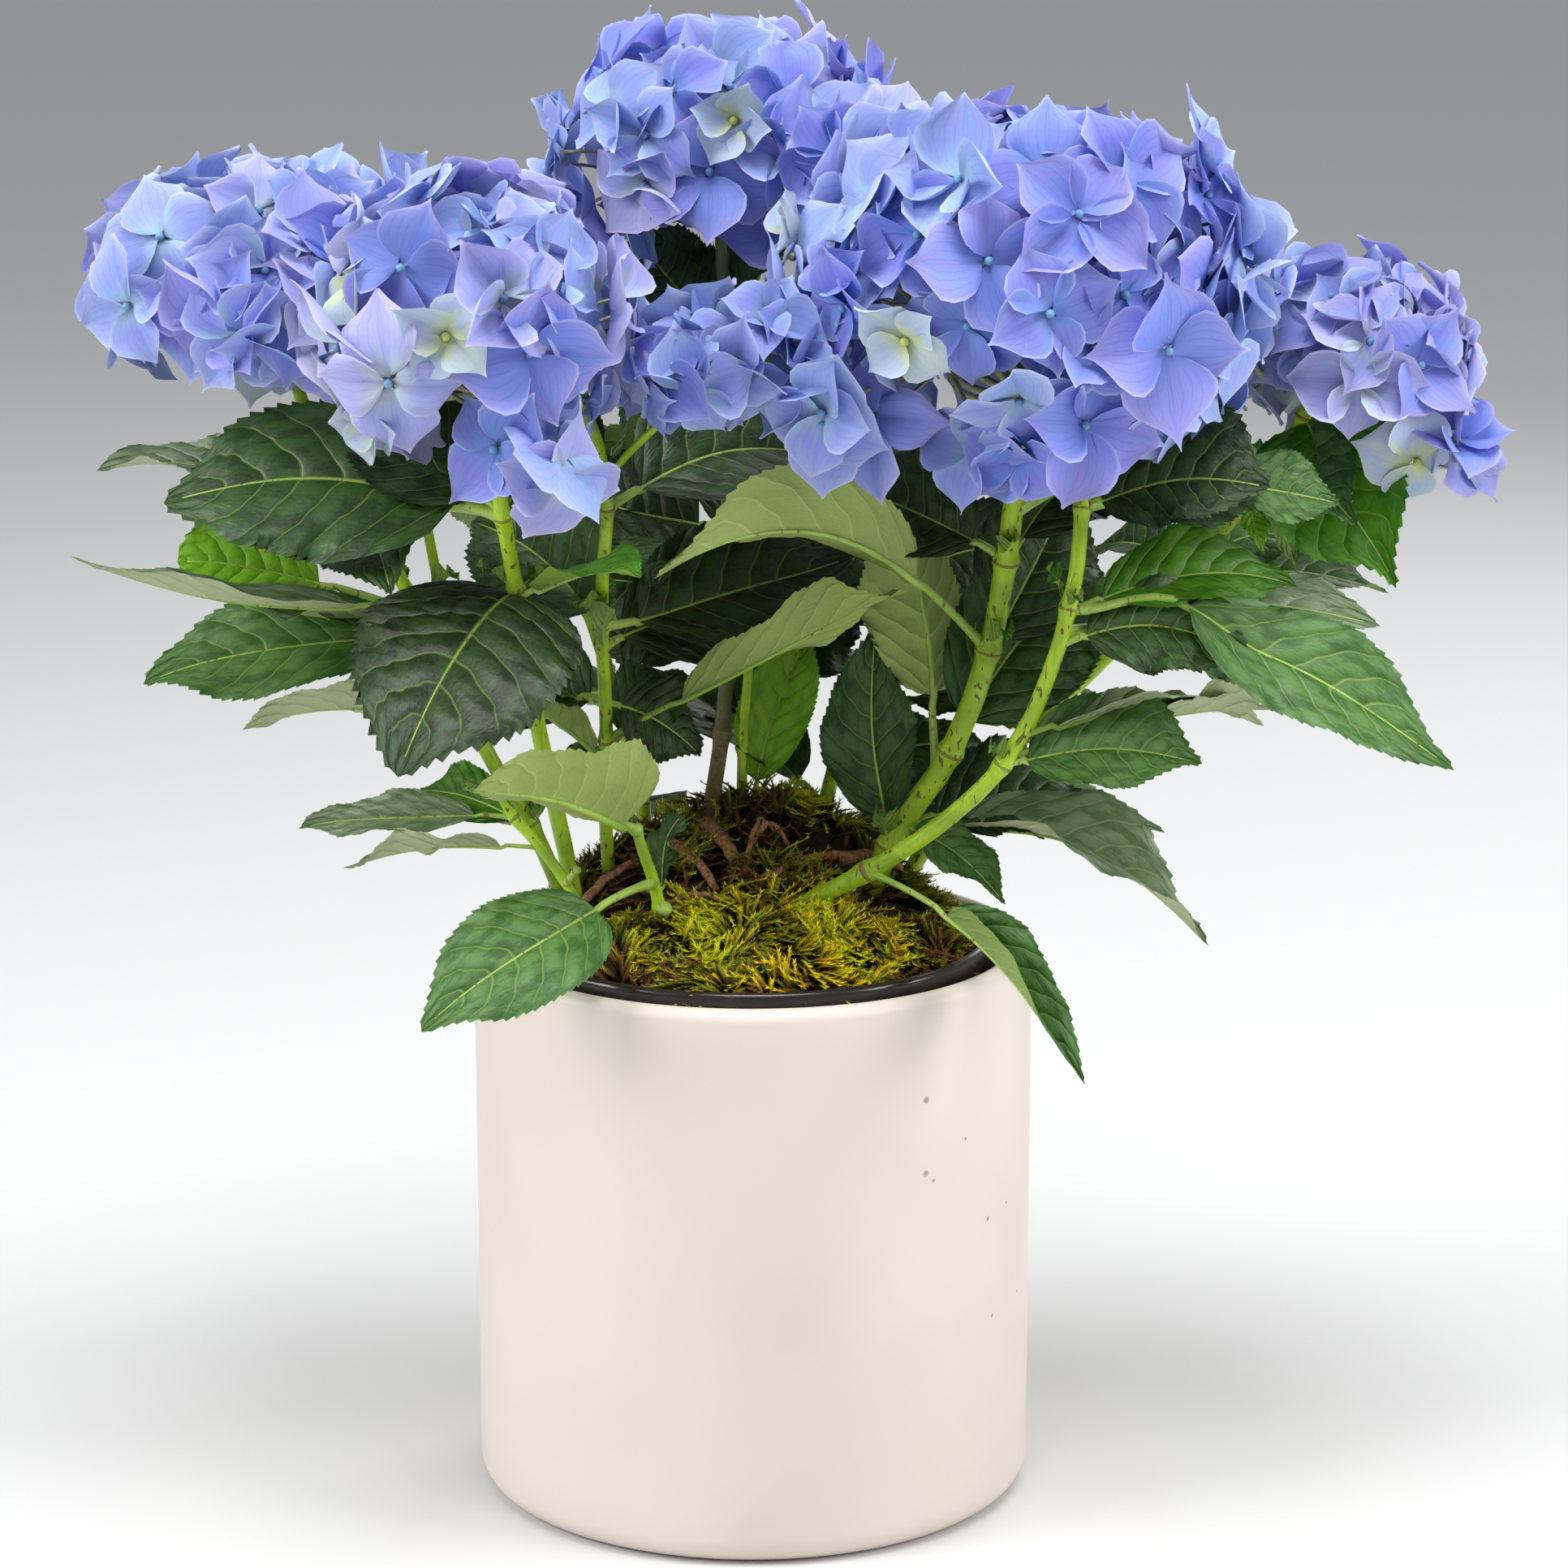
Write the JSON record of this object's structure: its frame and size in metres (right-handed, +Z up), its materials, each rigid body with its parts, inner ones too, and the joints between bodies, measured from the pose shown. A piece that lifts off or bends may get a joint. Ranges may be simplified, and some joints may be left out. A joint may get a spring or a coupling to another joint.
{
  "type": "potted hydrangea shrub",
  "caption": "Flowering mophead hydrangea shrub with blue blooms and serrate leaves on green stems, standing in moss in a plain cream cylindrical planter.",
  "frame": {"origin": "centre of the planter's flat underside", "axes": "+Z up along the planter's axis, +X to the right and -Y towards the front, the side the longest blooms lean to"},
  "size_m": [0.4737, 0.2902, 0.495],
  "materials": {
    "planter": "matte",
    "growing_pot": "gloss",
    "soil": "matte",
    "moss": "matte",
    "stem": "satin",
    "woody_stem": "matte",
    "petal": "matte",
    "petal_lilac": "matte",
    "petal_pale": "matte",
    "leaf": "satin",
    "leaf_young": "satin"
  },
  "bodies": {
    "root": {"bloom_back_left": "petal", "bloom_back_right": "petal", "bloom_far_left": "petal", "bloom_far_right": "petal", "bloom_front_right": "petal", "bloom_left": "petal", "bloom_rear_top": "petal", "bloom_small": "petal", "bough_far_left": "stem", "bough_small_bloom": "stem", "growing_pot": "growing_pot", "leaves_back_centre": "leaf", "leaves_back_centre_low": "leaf", "leaves_back_left_high": "leaf", "leaves_back_left_low": "leaf", "leaves_back_right_high": "leaf", "leaves_back_right_low": "leaf", "leaves_centre_arching": "leaf", "leaves_centre_back": "leaf", "leaves_centre_bright": "leaf", "leaves_centre_dark": "leaf", "leaves_centre_rising": "leaf", "leaves_centre_upright": "leaf", "leaves_far_left": "leaf", "leaves_front_left_low": "leaf", "leaves_front_left_pale": "leaf", "leaves_left_inner": "leaf", "leaves_left_middle": "leaf", "leaves_left_round": "leaf", "leaves_left_top": "leaf", "leaves_low_left": "leaf", "leaves_low_left_back": "leaf", "leaves_right_back": "leaf", "leaves_right_far_back": "leaf", "leaves_right_inner": "leaf", "leaves_right_long": "leaf", "leaves_right_low": "leaf", "leaves_right_middle": "leaf", "leaves_right_top": "leaf", "leaves_right_under_bloom": "leaf", "leaves_rim_right": "leaf", "leaves_under_blooms": "leaf", "moss_bed": "moss", "planter": "planter", "root_ball": "soil", "shoot_centre": "stem", "shoot_front_left": "stem", "shoot_low_left": "stem", "stem_back_left": "stem", "stem_back_right": "stem", "stem_centre": "stem", "stem_far_left": "stem", "stem_far_right": "stem", "stem_left": "stem", "stem_right_slender": "stem", "stem_right_thick": "stem", "stem_woody": "woody_stem"}
  },
  "joints": []
}
